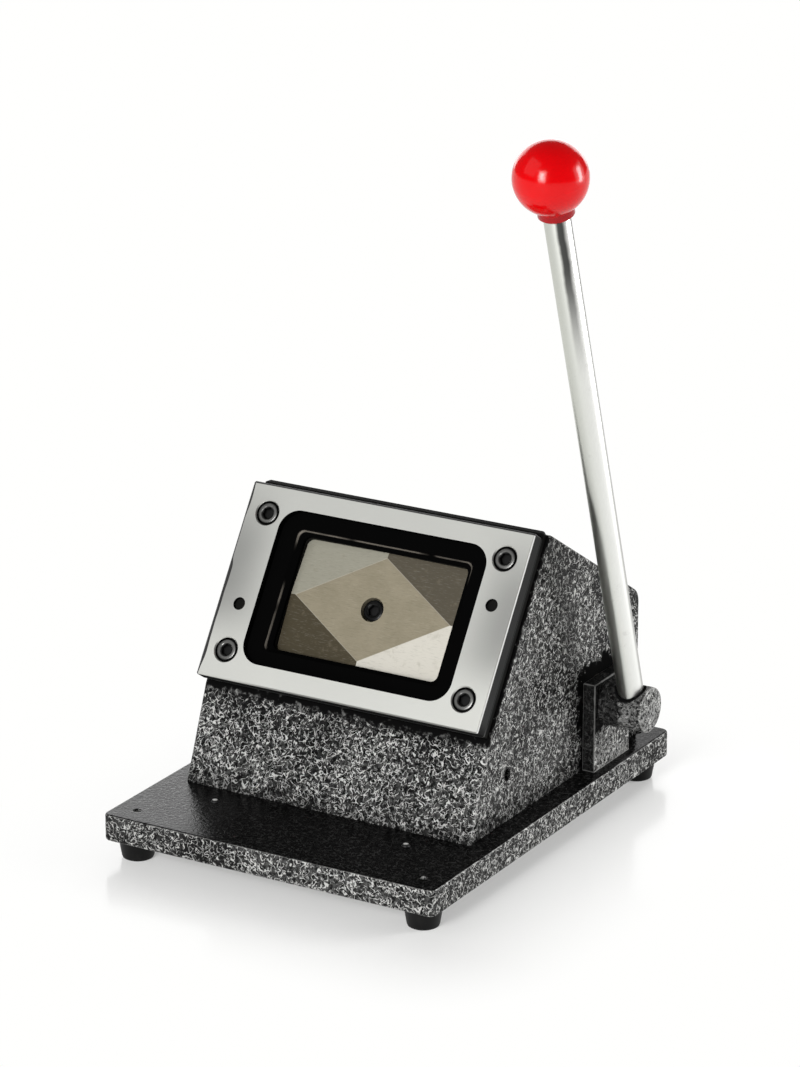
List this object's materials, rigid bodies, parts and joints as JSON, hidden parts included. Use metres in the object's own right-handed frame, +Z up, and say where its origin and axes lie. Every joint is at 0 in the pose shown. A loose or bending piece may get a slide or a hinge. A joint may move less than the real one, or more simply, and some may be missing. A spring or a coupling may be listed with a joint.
{
  "type": "manual card cutter",
  "caption": "Bench card cutter: sloping body with a square-cornered die and card-size punch, driven by a side lever with a ball knob, on a base plate with rubber feet.",
  "frame": {"origin": "on the bench, in the middle of the four feet and of the base plate", "axes": "+X to the lever side, +Y from the die to the rear, +Z up"},
  "size_m": [0.2008, 0.2218, 0.3376],
  "materials": {
    "hammertone_black": "black paint with fine silver veins",
    "ground_steel": "ground steel",
    "dark_steel": "blackened steel",
    "punch_steel": "ground steel, slightly warm",
    "black_oxide": "black oxide",
    "zinc_steel": "zinc plated",
    "machined_steel": "turned and oiled steel",
    "spring_steel": "oiled spring wire",
    "bronze": "machined bearing bronze",
    "chrome": "polished chrome",
    "red_plastic": "glossy moulded phenolic",
    "black_rubber": "moulded rubber"
  },
  "bodies": {
    "housing": {"base_plate": "hammertone_black", "rubber_feet": "black_rubber", "foot_washers": "zinc_steel", "foot_screws": "zinc_steel", "card_stop_pins": "zinc_steel", "body_housing": "hammertone_black", "body_bolts": "black_oxide", "rear_cover": "hammertone_black", "rear_cover_screws": "black_oxide", "bearing_block_right": "hammertone_black", "bearing_block_left": "hammertone_black", "block_screws": "black_oxide", "bush_right": "bronze", "bush_left": "bronze", "guide_plate": "dark_steel", "slot_spacers": "machined_steel", "die_plate": "ground_steel", "die_screws": "black_oxide", "die_dowels": "dark_steel", "side_gibs": "bronze", "upper_gib": "bronze", "lower_gib": "bronze", "gib_screws": "black_oxide", "spring_bolts": "black_oxide", "return_spring_right": "spring_steel", "return_spring_left": "spring_steel"},
    "lever": {"main_shaft": "machined_steel", "eccentric_cam": "machined_steel", "cam_key": "ground_steel", "cam_set_screw": "black_oxide", "cam_retaining_ring": "spring_steel", "shaft_collar": "machined_steel", "collar_set_screw": "black_oxide", "lever_hub": "hammertone_black", "lever_rod": "chrome", "ball_knob": "red_plastic"},
    "roller": {"cam_ring": "ground_steel"},
    "ram_unit": {"ram": "machined_steel", "crosshead": "machined_steel", "crosshead_screws": "black_oxide", "follower_pad": "ground_steel", "pad_screws": "black_oxide", "punch": "punch_steel", "punch_screw": "black_oxide", "punch_dowels": "ground_steel"}
  },
  "joints": [
    {"name": "lever_hinge", "type": "hinge", "parent": "housing", "child": "lever", "pos_m": [0, 0.05751, 0.053], "axis": [1, 0, 0], "range_deg": [0, 75], "stiffness_Nm_per_rad": 0.536, "springref_deg": -44.69},
    {"name": "roller_spin", "type": "hinge", "parent": "lever", "child": "roller", "pos_m": [0, 0.06177, 0.05446], "axis": [1, 0, 0], "range_deg": [-75, 0]},
    {"name": "ram_slide", "type": "slide", "parent": "housing", "child": "ram_unit", "axis": [0, -0.8339, 0.5519], "range_m": [0, 0.00548], "deforming": ["return_spring_right", "return_spring_left"]}
  ],
  "couplings": [
    {"joint": "roller_spin", "follows": "lever_hinge", "ratio": -1},
    {"joint": "ram_slide", "follows": "lever_hinge", "m_per_rad": 0.004185}
  ]
}
